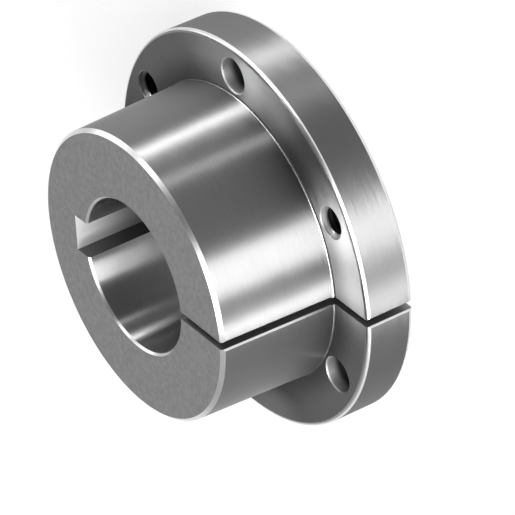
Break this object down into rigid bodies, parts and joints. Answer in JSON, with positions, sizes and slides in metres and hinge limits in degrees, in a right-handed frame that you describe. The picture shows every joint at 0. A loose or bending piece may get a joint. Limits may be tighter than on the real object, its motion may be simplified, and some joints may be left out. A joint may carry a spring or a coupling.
{
  "type": "quick disconnect bushing",
  "caption": "Split taper bushing with a flange, a keyed shaft bore, a slit down one side and plain and tapped holes alternating round the flange.",
  "frame": {"origin": "centre of the shaft bore on the back face of the flange, which is the face it stands on", "axes": "+Z along the bore from the flange to the nose of the taper; the slit opens towards -Y and the keyway lies towards +Y"},
  "size_m": [0.0984, 0.0984, 0.0432],
  "materials": {
    "steel": "fine turned, satin",
    "black_oxide": "black oxide, satin"
  },
  "bodies": {
    "root": {"bushing": "steel", "key_set_screw": "black_oxide"}
  },
  "joints": []
}
